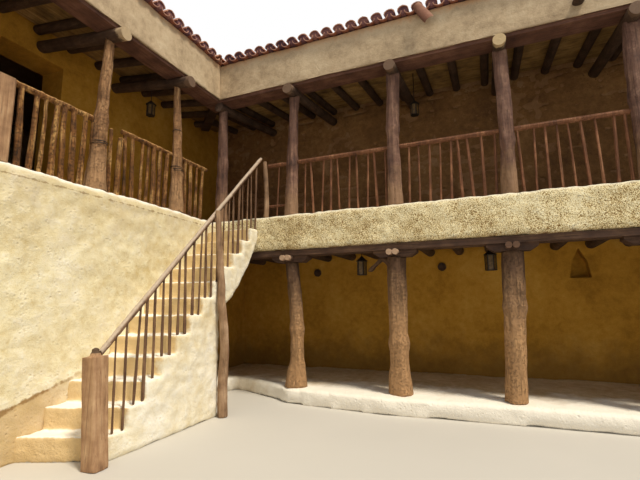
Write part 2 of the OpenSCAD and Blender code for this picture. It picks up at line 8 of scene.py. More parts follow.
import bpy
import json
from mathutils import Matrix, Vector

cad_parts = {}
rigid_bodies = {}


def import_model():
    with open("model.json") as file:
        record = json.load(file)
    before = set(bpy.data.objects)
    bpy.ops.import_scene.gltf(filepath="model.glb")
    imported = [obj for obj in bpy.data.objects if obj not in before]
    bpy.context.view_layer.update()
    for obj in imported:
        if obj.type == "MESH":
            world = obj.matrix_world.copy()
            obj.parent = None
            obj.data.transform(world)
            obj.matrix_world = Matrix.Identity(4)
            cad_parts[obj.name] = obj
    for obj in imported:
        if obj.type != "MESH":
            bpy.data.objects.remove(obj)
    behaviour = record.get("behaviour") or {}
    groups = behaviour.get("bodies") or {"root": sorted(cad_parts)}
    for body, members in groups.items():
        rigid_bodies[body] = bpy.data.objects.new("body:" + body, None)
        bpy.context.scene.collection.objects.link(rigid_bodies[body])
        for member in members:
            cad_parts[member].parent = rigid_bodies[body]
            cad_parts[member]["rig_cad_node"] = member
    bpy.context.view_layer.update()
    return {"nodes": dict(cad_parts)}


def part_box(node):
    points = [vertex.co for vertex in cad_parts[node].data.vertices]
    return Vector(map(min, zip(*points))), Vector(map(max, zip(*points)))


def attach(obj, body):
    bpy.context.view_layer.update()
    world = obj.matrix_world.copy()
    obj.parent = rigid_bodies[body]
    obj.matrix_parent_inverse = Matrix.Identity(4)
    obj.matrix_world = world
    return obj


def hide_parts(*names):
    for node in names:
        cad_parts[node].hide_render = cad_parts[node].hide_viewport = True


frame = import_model()

# %% [markdown]
# ## Small helpers
# An operator works on whatever is selected. After loading, all the solids are selected, so every
# step starts from an empty selection. These few helpers do what a hand does on the screen: click
# one object, go into edit mode, pick faces by where they are, add a modifier and apply it.

# %% Select and edit
import bpy
import json
import math
from mathutils import Matrix, Vector


def activate(piece):
    """Leaves only this piece selected and active."""
    if bpy.context.object and bpy.context.object.mode == "EDIT":
        bpy.ops.object.mode_set(mode="OBJECT")
    bpy.ops.object.select_all(action="DESELECT")
    piece.select_set(True)
    bpy.context.view_layer.objects.active = piece
    return piece


def pick(piece, domain="vertices", test=lambda part: True):
    """Goes into edit mode with just the vertices, edges or faces selected that pass the test."""
    activate(piece)
    bpy.ops.object.mode_set(mode="EDIT")
    bpy.ops.mesh.select_mode(type={"vertices": "VERT", "edges": "EDGE", "polygons": "FACE"}[domain])
    bpy.ops.mesh.select_all(action="DESELECT")
    bpy.ops.object.mode_set(mode="OBJECT")
    for part in getattr(piece.data, domain):
        part.select = bool(test(part))
    bpy.ops.object.mode_set(mode="EDIT")


def edit_all():
    """Goes into edit mode with everything selected."""
    bpy.ops.object.mode_set(mode="EDIT")
    bpy.ops.mesh.select_all(action="SELECT")


def leave_edit():
    bpy.ops.object.mode_set(mode="OBJECT")


def modify(piece, kind, **settings):
    """Adds one modifier and applies it."""
    activate(piece)
    step = piece.modifiers.new(kind.lower(), kind)
    for key, value in settings.items():
        setattr(step, key, value)
    bpy.ops.object.modifier_apply(modifier=step.name)
    return piece


def repeat(piece, step, count):
    """Lays count copies in a row, each moved on by one step."""
    return modify(piece, "ARRAY", use_relative_offset=False, use_constant_offset=True,
                  constant_offset_displace=step, count=count)


def ripple(piece, texture, strength, mid_level=0.5, **more):
    """Pushes the surface in and out by a cloud texture."""
    return modify(piece, "DISPLACE", texture=texture, strength=strength, mid_level=mid_level,
                  **{"texture_coords": "LOCAL", **more})


print("selection and modifier helpers ready")

# %% Copy, join and settle
def new_piece(name):
    """Names what a primitive operator has just added."""
    piece = bpy.context.object
    piece.name = piece.data.name = name
    return piece


def cylinder(name, turn=(math.pi / 2, 0, 0), **settings):
    """A cylinder that lies along y unless it is turned another way."""
    bpy.ops.object.select_all(action="DESELECT")
    bpy.ops.mesh.primitive_cylinder_add(rotation=turn, **settings)
    piece = new_piece(name)
    bpy.ops.object.transform_apply()
    return piece


def copy_of(piece, name, shift=(0, 0, 0)):
    """A copy with its own mesh, moved by shift."""
    twin = bpy.data.objects.new(name, piece.data.copy())
    bpy.context.collection.objects.link(twin)
    activate(twin)
    twin.location = shift
    bpy.ops.object.transform_apply()
    return twin


def join(pieces, name):
    """Makes one mesh of several."""
    activate(pieces[0])
    for other in pieces[1:]:
        other.select_set(True)
    if len(pieces) > 1:
        bpy.ops.object.join()
    pieces[0].name = pieces[0].data.name = name
    return pieces[0]


def face_outwards(piece):
    activate(piece)
    edit_all()
    bpy.ops.mesh.normals_make_consistent(inside=False)
    leave_edit()
    return piece


def settle(piece, slot, *replaced):
    """The piece rides on the house and stands for solids; slot is not used."""
    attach(piece, "root")
    if replaced:
        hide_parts(*replaced)
    print(f"{piece.name}: {len(piece.data.polygons)} faces")
    return piece


def coat(piece, degrees, material, slot):
    """Shades smooth the edges that bend less than so many degrees, then gives the material."""
    activate(piece)
    bpy.ops.object.shade_smooth_by_angle(angle=math.radians(degrees))
    piece.data.materials.append(material)
    return settle(piece, slot)


print("piece helpers ready")

# %% [markdown]
# ## Camera, light and floor
# The camera stands in the courtyard at eye height and looks up a little, with the wide lens that
# the photo's level lines give. The light is a studio's: one large soft sun from the open side of
# the courtyard, and a pale sky all round. Only the camera, reflections and glass see that sky as
# pure white, so the white adds no light to the matt walls.

# %% Camera
scene = bpy.context.scene
EYE = (4.114, -5.528, 1.399)
RIGHT, UP, AHEAD = (0.92420, 0.38178, -0.01041), (0.06739, -0.13618, 0.98840), (-0.37592, 0.91417, 0.15158)
camera_data = bpy.data.cameras.new("courtyard_camera")
LENS_MM, SENSOR_MM, NEAREST, FARTHEST = 23.22, 36.0, 0.05, 200.0
camera_data.lens, camera_data.sensor_width = LENS_MM, SENSOR_MM
camera_data.clip_start, camera_data.clip_end = NEAREST, FARTHEST
camera = bpy.data.objects.new("courtyard_camera", camera_data)
scene.collection.objects.link(camera)
axes = Matrix((RIGHT, UP, tuple(-v for v in AHEAD))).transposed()
camera.matrix_world = Matrix.Translation(EYE) @ axes.to_4x4()
scene.camera = camera
scene.view_settings.view_transform = "Standard"
print("camera at", EYE, "lens", camera_data.lens)

# %% Material helper
def linear(code, alpha=1.0):
    """An sRGB hex colour as the linear values that a shader needs."""
    parts = [int(code[i:i + 2], 16) / 255 for i in (1, 3, 5)]
    return tuple(v / 12.92 if v <= 0.04045 else ((v + 0.055) / 1.055) ** 2.4 for v in parts) + (alpha,)


def add(tree, kind, fields=None, values=None, links=None):
    """Adds one node: fields are its own settings, values its sockets' numbers, and links what feeds
    them, either one socket or a node whose first output is meant."""
    node = tree.nodes.new("ShaderNode" + kind)
    for key, value in (fields or {}).items():
        if key == "stops":
            ramp = node.color_ramp.elements
            while len(ramp) < len(value):
                ramp.new(0.5)
            for element, (place, shade) in zip(ramp, value):
                element.position = place
                element.color = linear(shade) if isinstance(shade, str) else (shade, shade, shade, 1)
        else:
            setattr(node, key, value)
    for key, value in (values or {}).items():
        node.inputs[key].default_value = linear(value) if isinstance(value, str) else value
    for key, source in (links or {}).items():
        tree.links.new(source.outputs[0] if hasattr(source, "outputs") else source, node.inputs[key])
    return node


def new_material(name):
    """An empty material and its node tree."""
    made = bpy.data.materials.new(name)
    made.use_nodes = True
    made.node_tree.nodes.clear()
    return made, made.node_tree


TIMES, LARGER, COLOURS = {"operation": "MULTIPLY"}, {"operation": "MAXIMUM"}, {"data_type": "RGBA"}
print("material helpers ready")

# %% Sky and sun
SKY_STRENGTH, SUN_STRENGTH, SUN_SOFTNESS = 0.61, 3.2, math.radians(10)
SUN_WAY = (-0.45, 0.21, -0.87)
world = bpy.data.worlds.new("studio_sky")
scene.world = world
world.use_nodes = True
sky = world.node_tree
sky.nodes.clear()
sky_rays = add(sky, "LightPath")
seen = add(sky, "Math", LARGER,
           links={0: sky_rays.outputs["Is Camera Ray"], 1: sky_rays.outputs["Is Glossy Ray"]})
seen = add(sky, "Math", LARGER, links={0: seen, 1: sky_rays.outputs["Is Transmission Ray"]})
sky_light = add(sky, "Background", values={"Color": "#eef2f8", "Strength": SKY_STRENGTH})
sky_white = add(sky, "Background", values={"Color": "#ffffff", "Strength": 1.0})
sky_mix = add(sky, "MixShader", links={0: seen, 1: sky_light, 2: sky_white})
add(sky, "OutputWorld", links={0: sky_mix})
sun_data = bpy.data.lights.new("soft_sun", "SUN")
sun_data.energy, sun_data.angle = SUN_STRENGTH, SUN_SOFTNESS
sun_data.color = linear("#fff4e0")[:3]
sun = bpy.data.objects.new("soft_sun", sun_data)
sun.rotation_euler = Vector(SUN_WAY).to_track_quat("-Z", "Y").to_euler()
scene.collection.objects.link(sun)
print("sun", SUN_STRENGTH, "sky", SKY_STRENGTH)

# %% Floor
FLOOR_WIDE, FLOOR_DROP = 90, 0.004
bpy.ops.object.select_all(action="DESELECT")
bpy.ops.mesh.primitive_plane_add(size=FLOOR_WIDE, location=(0, 0, -FLOOR_DROP))
floor = new_piece("studio_floor")
floor_mat, tree = new_material("pale_matt_floor")
spot = add(tree, "TexCoord")
tone = add(tree, "TexNoise", values={"Scale": 0.6, "Detail": 3.0}, links={"Vector": spot.outputs["Object"]})
tone = add(tree, "ValToRGB", {"stops": [(0.3, "#c6c2ba"), (0.7, "#cac6be")]}, links={0: tone})
skin = add(tree, "BsdfPrincipled", values={"Roughness": 0.9}, links={"Base Color": tone})
add(tree, "OutputMaterial", links={0: skin})
floor.data.materials.append(floor_mat)
print("floor", FLOOR_WIDE, "m wide")

# %% [markdown]
# ## Earth and lime plaster
# The walls are adobe under a coat of lime, sand and mud thrown on by hand. It is matt, with soft
# waves as wide as an arm's sweep, grit of a few millimetres, small pits where stones fell out,
# and tan stains where rain washed it. One recipe makes all the plasters: big noise for stains,
# middle noise for patches, fine noise for grit, and the same noises as bump. The real grit is 2 to
# 5 mm. It is drawn at about a centimetre, because finer grains wouldn't show from the courtyard.

# %% Plaster recipe
def plaster(name, dark, base, pale, pits=0.5, pit_scale=24.0, bump=0.9, speckle=0.025):
    """Colours from the washed-out stain to the palest lime; pit_scale: pits in each metre;
    speckle: how far single grains stray from the tone round them."""
    made, tree = new_material(name)
    spot = add(tree, "TexCoord").outputs["Object"]
    stains = add(tree, "TexNoise", values={"Scale": 1.3, "Detail": 7.0, "Roughness": 0.62},
                 links={"Vector": spot})
    patches = add(tree, "TexNoise", values={"Scale": 9.0, "Detail": 9.0, "Roughness": 0.68},
                  links={"Vector": spot})
    grit = add(tree, "TexNoise", values={"Scale": 95.0, "Detail": 4.0}, links={"Vector": spot})
    both = add(tree, "Mix", values={0: 0.45}, links={2: stains, 3: patches})
    grains = add(tree, "MapRange", values={1: 0.38, 2: 0.62, 3: -speckle, 4: speckle}, links={0: grit})
    both = add(tree, "Math", {"operation": "ADD"}, links={0: both, 1: grains})
    tone = add(tree, "ValToRGB", {"stops": [(0.36, dark), (0.5, base), (0.64, pale)]}, links={0: both})
    holes = add(tree, "TexVoronoi", values={"Scale": pit_scale, "Randomness": 1.0}, links={"Vector": spot})
    hole = add(tree, "MapRange", values={1: 0.1, 2: 0.42, 3: 1.0, 4: 0.0}, links={0: holes})
    some = add(tree, "MapRange", values={1: 0.46, 2: 0.62, 3: 0.0, 4: pits}, links={0: patches})
    pit = add(tree, "Math", TIMES, links={0: hole, 1: some})
    colour = add(tree, "Mix", COLOURS, {7: dark}, {0: pit, 6: tone})
    height = add(tree, "Math", TIMES, {1: -1.2}, {0: pit})
    height = add(tree, "Math", {"operation": "MULTIPLY_ADD"}, {1: 1.6}, {0: patches, 2: height})
    height = add(tree, "Math", {"operation": "MULTIPLY_ADD"}, {1: 0.35}, {0: grit, 2: height})
    relief = add(tree, "Bump", values={"Strength": bump, "Distance": 0.012}, links={"Height": height})
    matt = add(tree, "MapRange", values={3: 0.82, 4: 0.97}, links={0: patches})
    skin = add(tree, "BsdfPrincipled", values={"IOR": 1.5, "Specular IOR Level": 0.25},
               links={"Base Color": colour.outputs[2], "Roughness": matt, "Normal": relief})
    add(tree, "OutputMaterial", links={0: skin})
    return made


print("plaster recipe ready")

# %% [markdown]
# Some colours follow a place rather than chance: rain stains under an edge, worn treads, lime
# splashed on a log's end, and painted light and shade on tops, undersides and posts. Such a
# colour is laid over the others through a mask. A place mask measures along a direction and is
# made ragged with noise. A facing mask asks which way the surface looks.

# %% Masks and overlays
def place_mask(tree, along, start, full, ragged=0.12, scale=6.0):
    """0 before start, 1 past full, measured along a direction, with a ragged edge."""
    spot = add(tree, "TexCoord").outputs["Object"]
    reach = add(tree, "VectorMath", {"operation": "DOT_PRODUCT"}, {1: along}, {0: spot})
    noise = add(tree, "TexNoise", values={"Scale": scale, "Detail": 6.0, "Roughness": 0.65},
                links={"Vector": spot})
    noise = add(tree, "MapRange", values={1: 0.3, 2: 0.7, 3: -ragged, 4: ragged}, links={0: noise})
    total = add(tree, "Math", {"operation": "ADD"}, links={0: reach.outputs["Value"], 1: noise})
    return add(tree, "MapRange", values={1: start, 2: full}, links={0: total})


def facing_mask(tree, towards, start=0.35, full=0.8):
    """1 where the surface looks towards a direction."""
    normal = add(tree, "NewGeometry").outputs["Normal"]
    look = add(tree, "VectorMath", {"operation": "DOT_PRODUCT"}, {1: towards}, {0: normal})
    return add(tree, "MapRange", values={1: start, 2: full}, links={0: look.outputs["Value"]})


def overlay(made, shade, *masks, strength=1.0):
    """Lays one colour over what feeds the shader, where all the masks agree."""
    tree = made.node_tree
    skin = next(node for node in tree.nodes if node.bl_idname == "ShaderNodeBsdfPrincipled")
    under = skin.inputs["Base Color"].links[0].from_socket
    share = add(tree, "Math", TIMES, {1: strength}, {0: masks[0]})
    for mask in masks[1:]:
        share = add(tree, "Math", TIMES, links={0: share, 1: mask})
    mix = add(tree, "Mix", COLOURS, {7: shade}, {0: share, 6: under})
    tree.links.new(mix.outputs[2], skin.inputs["Base Color"])
    return made


LEVEL_UP, DOWN, TO_COURT, TO_RIGHT, TO_LEFT = (0, 0, 1), (0, 0, -1), (0, -1, 0), (1, 0, 0), (-1, 0, 0)
print("mask helpers ready")

# %% Plasters of the courtyard side
# lime over mud: its tan stains and grit catch the eye before its pale ground does
lime_plaster = plaster("lime_and_mud_plaster", "#d8c48f", "#f1e6c0", "#faf4df", 0.5)
tree = lime_plaster.node_tree
# rain has washed mud from under the ledge down the wall
overlay(lime_plaster, "#bda26a", place_mask(tree, LEVEL_UP, 1.85, 2.75, 0.55, 2.2), strength=0.4)
# a broken dark line under the ledge's rounded lip is painted shadow of the lip
overlay(lime_plaster, "#8c6b3c", place_mask(tree, LEVEL_UP, 2.630, 2.636, 0.018, 11.0),
        place_mask(tree, DOWN, -2.646, -2.640, 0.018, 11.0), strength=0.6)
# faces that look up, the ledge's top among them, are painted paler as lit from above
overlay(lime_plaster, "#f9f4e6", facing_mask(tree, LEVEL_UP))
# above the lowest steps the lime is gone up to a crack, which climbs more gently than they do
SKIRT_WAY, CRACK_WAY, LOW_END = (0, 0.31, -1), (0, -0.31, 1), place_mask(tree, TO_COURT, 2.2, 2.6)
bare = place_mask(tree, SKIRT_WAY, -1.43, -1.41, 0.03)
overlay(lime_plaster, "#c4a066", bare, LOW_END, strength=0.7)
overlay(lime_plaster, "#8f6a3a", bare, place_mask(tree, CRACK_WAY, 1.37, 1.39, 0.03), LOW_END, strength=0.75)
# the band's render is thrown, not smoothed; coarse dark grains in pale lime are painted as the shade of its
# grit
band_plaster = plaster("speckled_lime_render", "#7d5c2a", "#ecd8a2", "#fff6d2", 0.6, pit_scale=46.0, bump=1.5,
                       speckle=0.15)
tree = band_plaster.node_tree
# its tops are painted paler as lit from above
overlay(band_plaster, "#f4ecd2", facing_mask(tree, LEVEL_UP))
# its lower edge is painted brown as the shade under the band
overlay(band_plaster, "#7a5c3a", place_mask(tree, DOWN, -2.235, -2.19, 0.03, 9.0))
# feet have rubbed the treads to bare pale lime, and they are painted paler still as lit from above;
# the risers are painted tan as shade
stair_plaster = plaster("worn_stair_plaster_painted_light_and_shade", "#e0cea2", "#f2e9cf", "#fbf7ea", 0.4)
tree = stair_plaster.node_tree
overlay(stair_plaster, "#d9b981", facing_mask(tree, TO_COURT),
        place_mask(tree, TO_LEFT, -0.80, -0.74, 0.05, 7.0), strength=0.9)
overlay(stair_plaster, "#fbf8f0", facing_mask(tree, LEVEL_UP, 0.6, 0.9), strength=0.8)
# the fascia is pinker and smoother; it is rusty under the tiles and dirty at its lower edge
fascia_plaster = plaster("fascia_lime_plaster", "#9c876c", "#bfa98a", "#d1be9f", 0.35, bump=0.6)
tree = fascia_plaster.node_tree
overlay(fascia_plaster, "#a8703f", place_mask(tree, LEVEL_UP, 5.40, 5.56, 0.07, 9.0), strength=0.75)
overlay(fascia_plaster, "#7d664c", place_mask(tree, DOWN, -4.93, -4.87, 0.03, 9.0), strength=0.6)
# the portico's floor is trodden dark inside, and towards the court it is painted near white as
# sunlight on the kerb
floor_plaster = plaster("trodden_lime_floor", "#b39468", "#cdb48c", "#dfcba6", 0.6)
tree = floor_plaster.node_tree
overlay(floor_plaster, "#fcf6e8", place_mask(tree, TO_COURT, -0.9, -0.3, 0.25, 3.0), strength=0.97)
print("courtyard plasters made")

# %% Plasters of the rooms, outer walls and roof bed
# outside, the courtyard's plaster with more straw and mud in it, splashed darker at the foot
mud_plaster = plaster("straw_mud_plaster", "#b3935f", "#d2b683", "#e4d0a4", 0.6, bump=1.2, speckle=0.05)
tree = mud_plaster.node_tree
overlay(mud_plaster, "#8a6a44", place_mask(tree, DOWN, -0.55, -0.1, 0.25, 3.0), strength=0.6)
# the storeys show as a darker band, where the wall is thinner over the upper floor's edge
overlay(mud_plaster, "#94744a", place_mask(tree, LEVEL_UP, 2.46, 2.56, 0.06),
        place_mask(tree, DOWN, -2.84, -2.74, 0.06), strength=0.4)
overlay(mud_plaster, "#94744a", place_mask(tree, LEVEL_UP, 5.15, 5.35, 0.12), strength=0.4)
# ochre limewash: a saturated yellow earth, even and chalky; grey and darker low down, from damp and
# from painted shade at the wall's foot
ochre_plaster = plaster("ochre_limewash", "#9c6f22", "#bb892e", "#cb9c46", 0.25, bump=0.45)
tree = ochre_plaster.node_tree
overlay(ochre_plaster, "#6e5029", place_mask(tree, DOWN, -0.85, -0.35, 0.25, 3.0), strength=0.55)
# beaten earth: dark, dry and crumbly
earth_floor = plaster("packed_earth", "#8a6d4a", "#a3845c", "#b4976e", 0.4)
# the earth that tiles and adobes are bedded in, seen only between them
roof_earth = plaster("roof_bed_of_earth", "#7d5a3c", "#94704c", "#a98560", 0.6)
print("room, outer and roof plasters made")

# %% [markdown]
# ## Logs, hewn beams and peeled sticks
# The timber is local and rough: crooked trunks for posts, dark smoked logs for ceilings, peeled
# reddish sticks for railings. Its grain runs along each piece, so the pattern is stretched that
# way. Long cracks are narrow dark bands of an even more stretched noise. Real fibres are a few
# millimetres wide; they are drawn at about 25 mm, to show on a whole house.

# %% Wood recipe
def wood(name, dark, base, pale, along="Z", rings=0.0, rough=0.75, bump=0.8, pitted=0.0):
    """along: the axis that the grain follows. rings: how strongly bark rings show across it.
    pitted: how dark the worm-eaten pits and scraps of bark are."""
    made, tree = new_material(name)
    spot = add(tree, "TexCoord").outputs["Object"]

    def stretched(across, length):
        return [length if axis == along else across for axis in "XYZ"]

    grain_at = add(tree, "Mapping", values={"Scale": stretched(40.0, 1.6)}, links={0: spot})
    crack_at = add(tree, "Mapping", values={"Scale": stretched(30.0, 0.7)}, links={0: spot})
    ring_at = add(tree, "Mapping", values={"Scale": stretched(1.4, 6.0)}, links={0: spot})
    grain = add(tree, "TexNoise", values={"Scale": 1.0, "Detail": 8.0, "Roughness": 0.68, "Distortion": 0.3},
                links={"Vector": grain_at})
    crack = add(tree, "TexNoise", values={"Scale": 1.0, "Detail": 2.0, "Distortion": 0.35},
                links={"Vector": crack_at})
    blotch = add(tree, "TexNoise", values={"Scale": 4.5, "Detail": 6.0, "Roughness": 0.6},
                 links={"Vector": spot})
    ring = add(tree, "TexNoise", values={"Scale": 1.0, "Detail": 2.0}, links={"Vector": ring_at})
    both = add(tree, "Mix", values={0: 0.55}, links={2: grain, 3: blotch})
    tone = add(tree, "ValToRGB", {"stops": [(0.34, dark), (0.5, base), (0.66, pale)]}, links={0: both})
    line = add(tree, "ValToRGB", {"stops": [(0.466, 0.0), (0.483, 1.0), (0.5, 0.0)]}, links={0: crack})
    # checks gape only here and there
    open_share = add(tree, "MapRange", values={1: 0.42, 2: 0.6, 3: 0.15, 4: 1.0}, links={0: blotch})
    line = add(tree, "Math", TIMES, links={0: line, 1: open_share})
    band = add(tree, "ValToRGB", {"stops": [(0.46, 0.0), (0.5, 0.5), (0.54, 0.0)]}, links={0: ring})
    band = add(tree, "Math", TIMES, {1: rings}, {0: band})
    mark = add(tree, "Math", LARGER, links={0: line, 1: band})
    pits = add(tree, "TexNoise", values={"Scale": 38.0, "Detail": 5.0, "Roughness": 0.7},
               links={"Vector": spot})
    pit = add(tree, "MapRange", values={1: 0.53, 2: 0.62, 3: 0.0, 4: pitted}, links={0: pits})
    mark = add(tree, "Math", LARGER, links={0: mark, 1: pit})
    shade = add(tree, "Math", TIMES, {1: 0.7}, {0: mark})
    colour = add(tree, "Mix", COLOURS, {7: dark}, {0: shade, 6: tone})
    height = add(tree, "Math", {"operation": "MULTIPLY_ADD"}, {1: -0.9}, {0: mark, 2: grain})
    relief = add(tree, "Bump", values={"Strength": bump, "Distance": 0.009}, links={"Height": height})
    matt = add(tree, "MapRange", values={3: rough - 0.1, 4: rough + 0.12}, links={0: grain})
    skin = add(tree, "BsdfPrincipled", values={"IOR": 1.5, "Specular IOR Level": 0.3},
               links={"Base Color": colour.outputs[2], "Roughness": matt, "Normal": relief})
    add(tree, "OutputMaterial", links={0: skin})
    return made


print("wood recipe ready")

# %% Woods of the posts and railings
# adzed trunks: grey-brown shade wood with dark checks, tan where the sun reaches
post_wood = wood("weathered_log_upright", "#3a2417", "#7e5b3d", "#bf976a", rings=0.5, bump=1.4, pitted=0.6)
# the back gallery's trunks stand in the shade and are painted in its darker mauve-brown
back_post_wood = wood("shaded_log_upright", "#3c2a25", "#735446", "#a17e68", rings=0.4, bump=1.2, pitted=0.35)
# the left gallery's trunks are painted lighter and warmer as sunlit
left_post_wood = wood("sunlit_log_upright", "#4d3322", "#9c744e", "#d0a577", rings=0.5, bump=1.3, pitted=0.6)
for made in (post_wood, back_post_wood, left_post_wood):
    # the posts are painted lighter below the eaves' shade, as sunlight on them
    overlay(made, "#bd9870", place_mask(made.node_tree, DOWN, -3.35, -3.0, 0.2), strength=0.4)
# the portico posts are painted lighter low down as sunlight, and darker at their heads and fork as
# the shade under the band
overlay(post_wood, "#c79a6a", place_mask(post_wood.node_tree, DOWN, -1.45, -1.0, 0.2), strength=0.45)
overlay(post_wood, "#40291c", place_mask(post_wood.node_tree, LEVEL_UP, 1.2, 1.85, 0.15), strength=0.8)
# half-peeled sticks: strips of dark bark left on tan sapwood
left_rail_wood = wood("peeled_tan_sticks", "#2b1a0c", "#86592e", "#dcaf6c", rings=0.6, bump=1.4, pitted=0.75)
back_rail_wood = wood("peeled_reddish_sticks", "#3f2719", "#7b5036", "#a97a58", rings=0.5, bump=1.1)
# the stair's poles are greyer, and their upper side is painted nearly white as sunlit
stair_rail_wood = wood("weathered_stair_poles", "#402d22", "#72553f", "#9f7f62", rings=0.4)
overlay(stair_rail_wood, "#d6c4ae", facing_mask(stair_rail_wood.node_tree, LEVEL_UP, 0.2, 0.7), strength=0.8)
# the left sticks' upper sides are painted golden as sunlit
overlay(left_rail_wood, "#d9a668", facing_mask(left_rail_wood.node_tree, LEVEL_UP, 0.15, 0.6), strength=0.8)
# the newel is one hewn baulk, worn smooth by hands: fewer checks, warm brown
newel_wood = wood("hewn_reddish_newel", "#70523a", "#a88361", "#c8a680", rings=0.15, bump=0.5)
tree = newel_wood.node_tree
overlay(newel_wood, "#3b2d23", place_mask(tree, LEVEL_UP, 0.972, 0.98, 0.004),
        place_mask(tree, DOWN, -1.3, -1.2, 0.004), strength=0.85)
# the tall pole by the stair is peeled: lighter and smoother than the rails
pole_wood = wood("peeled_pole_wood", "#5c4634", "#96775a", "#bfa182", rings=0.3, bump=0.5)
print("post and railing woods made")

# %% Woods of ceilings, beams and eaves
# peeled logs, smoked nearly black: their flutes and checks show only where light grazes them
SMOKED = ("#2a1e18", "#4b382c", "#66503f")
dark_log_x, dark_log_y = wood("smoked_log_along_x", *SMOKED, "X"), wood("smoked_log_along_y", *SMOKED, "Y")
tie_x, tie_y = wood("tie_log_along_x", *SMOKED, "X"), wood("tie_log_along_y", *SMOKED, "Y")
# the ends of the tie logs were splashed when the fascia was plastered
tree = tie_x.node_tree
end_mask = place_mask(tree, TO_RIGHT, 0.0, 0.05, 0.06, 14.0)
overlay(tie_x, "#7d6450", end_mask, strength=0.7)
overlay(tie_x, "#c8b08c", end_mask, place_mask(tree, TO_COURT, 1.5, 1.7, 0.05), strength=0.8)
tree = tie_y.node_tree
end_mask = place_mask(tree, TO_COURT, 0.0, 0.05, 0.06, 14.0)
overlay(tie_y, "#7d6450", end_mask, strength=0.8)
overlay(tie_y, "#d2b98e", end_mask, place_mask(tree, TO_RIGHT, 3.9, 4.1, 0.05),
        place_mask(tree, TO_LEFT, -5.2, -5.0, 0.05), strength=0.9)
# the portico's beam is squared with an axe, and as dark
beam_x = wood("dark_hewn_beam", "#30211a", "#50392b", "#6f543f", "X")
tree = beam_x.node_tree
end_mask = place_mask(tree, TO_COURT, 0.02, 0.06, 0.03, 14.0)
overlay(beam_x, "#6f523f", end_mask, strength=0.6)
overlay(beam_x, "#c7a78a", end_mask, place_mask(tree, TO_LEFT, -3.4, -3.2, 0.05), strength=0.8)
# the eaves beams are a redder timber, fresher than the logs over them
REDDISH = ("#3c2620", "#644335", "#835e4b")
eaves_wood_x = wood("hewn_eaves_board_x", *REDDISH, "X")
eaves_wood_y = wood("hewn_eaves_board_y", *REDDISH, "Y")
print("ceiling, beam and eaves woods made")

# %% [markdown]
# ## Dress the solids whose shape is already right
# A solid with the right shape stays, and only its material slot changes.

# %% Materials on kept solids
def dress(material, *nodes):
    for node in nodes:
        cad = frame["nodes"][node]
        cad.data.materials.clear()
        cad.data.materials.append(material)


dress(mud_plaster, "left_end_wall", "back_end_wall", "left_outer_wall", "back_outer_wall")
dress(ochre_plaster, "portico_end_wall", "left_gallery_wall", "portico_back_wall")
dress(earth_floor, "left_upper_floor", "back_upper_floor")
dress(roof_earth, "left_inner_roof", "left_outer_roof", "back_inner_roof", "back_outer_roof",
      "back_gallery_wall")
dress(dark_log_y, "portico_joists", "back_rafters", "valley_rafter")
dress(dark_log_x, "left_rafters")
dress(tie_x, "left_ties")
dress(tie_y, "back_ties")
dress(beam_x, "portico_beam", "portico_brackets")
dress(eaves_wood_x, "back_eaves_beam")
dress(eaves_wood_y, "left_eaves_beam")
dress(back_rail_wood, "back_railings")
dress(newel_wood, "rail_block")
print("kept solids dressed")

# %% [markdown]
# ## Hand-made plaster shapes
# A plastered adobe wall has no sharp edge and no flat face. A copy of the solid is rebuilt as an
# even skin of small squares by the Remesh modifier, and two Displace modifiers with cloud noise
# push it in and out: slow waves first, then small lumps. The edges soften by themselves.
# The trunks and sticks are made the same way, with a smaller square and lumps for knots.

# %% Weathered copies
def clouds(name, size, depth=2):
    made = bpy.data.textures.new(name, "CLOUDS")
    made.noise_scale, made.noise_depth = size, depth
    return made


WAVES = clouds("arm_wide_waves", 0.55)
LUMPS, KNOTS = clouds("hand_wide_lumps", 0.12, 3), clouds("knots", 0.09)
# corners of a solid's triangles that lie this close are one point
SAME_POINT = 0.0003
# seen through this stretched frame, the cloud lumps become flutes along a trunk
GRAIN_FRAME = bpy.data.objects.new("grain_frame", None)
scene.collection.objects.link(GRAIN_FRAME)
FLUTE_STRETCH = 4
GRAIN_FRAME.scale = (1, 1, FLUTE_STRETCH)
bpy.context.view_layer.update()


def weathered(name, nodes, material, slot, square, wave, lump, fine=LUMPS, level=0.5):
    """A softened, uneven copy that stands for its solids. square: the new mesh's step in metres;
    wave, lump: how deep slow and small unevenness go. Above 0.5, level wears the piece down."""
    piece = join([copy_of(frame["nodes"][node], node + "_skin") for node in nodes], name)
    edit_all()
    bpy.ops.mesh.remove_doubles(threshold=SAME_POINT)
    leave_edit()
    modify(piece, "REMESH", mode="VOXEL", voxel_size=square)
    if wave:
        ripple(piece, WAVES, wave)
    along_grain = {"texture_coords": "OBJECT", "texture_coords_object": GRAIN_FRAME} if fine is KNOTS else {}
    ripple(piece, fine, lump, level, **along_grain)
    bpy.ops.object.shade_smooth()
    piece.data.materials.clear()
    piece.data.materials.append(material)
    return settle(piece, slot, *nodes)


weathered("plastered_front_wall", ["left_front_wall"], lime_plaster, "lime_plaster",
          square=0.036, wave=0.035, lump=0.046)
weathered("plastered_band", ["gallery_band"], band_plaster, "lime_plaster",
          square=0.024, wave=0.026, lump=0.03)
weathered("plastered_stair", ["stair_base", "stair_half_arch", "stair_steps"], stair_plaster, "stair_plaster",
          square=0.023, wave=0.03, lump=0.034)
weathered("portico_kerb_and_floor", ["portico_floor"], floor_plaster, "trodden_lime_floor",
          square=0.045, wave=0.03, lump=0.02)
for side in ("left", "back"):
    weathered(side + "_fascia_coat", [side + "_fascia"], fascia_plaster, "fascia_plaster",
              square=0.034, wave=0.03, lump=0.012)

# %% Trunks, newel and railings
def rough_wood(name, node, material, slot, square, lump, level=0.5):
    """Timber has no slow waves, only knots and flutes along its grain."""
    return weathered(name, [node], material, slot, square, 0.0, lump, KNOTS, level)


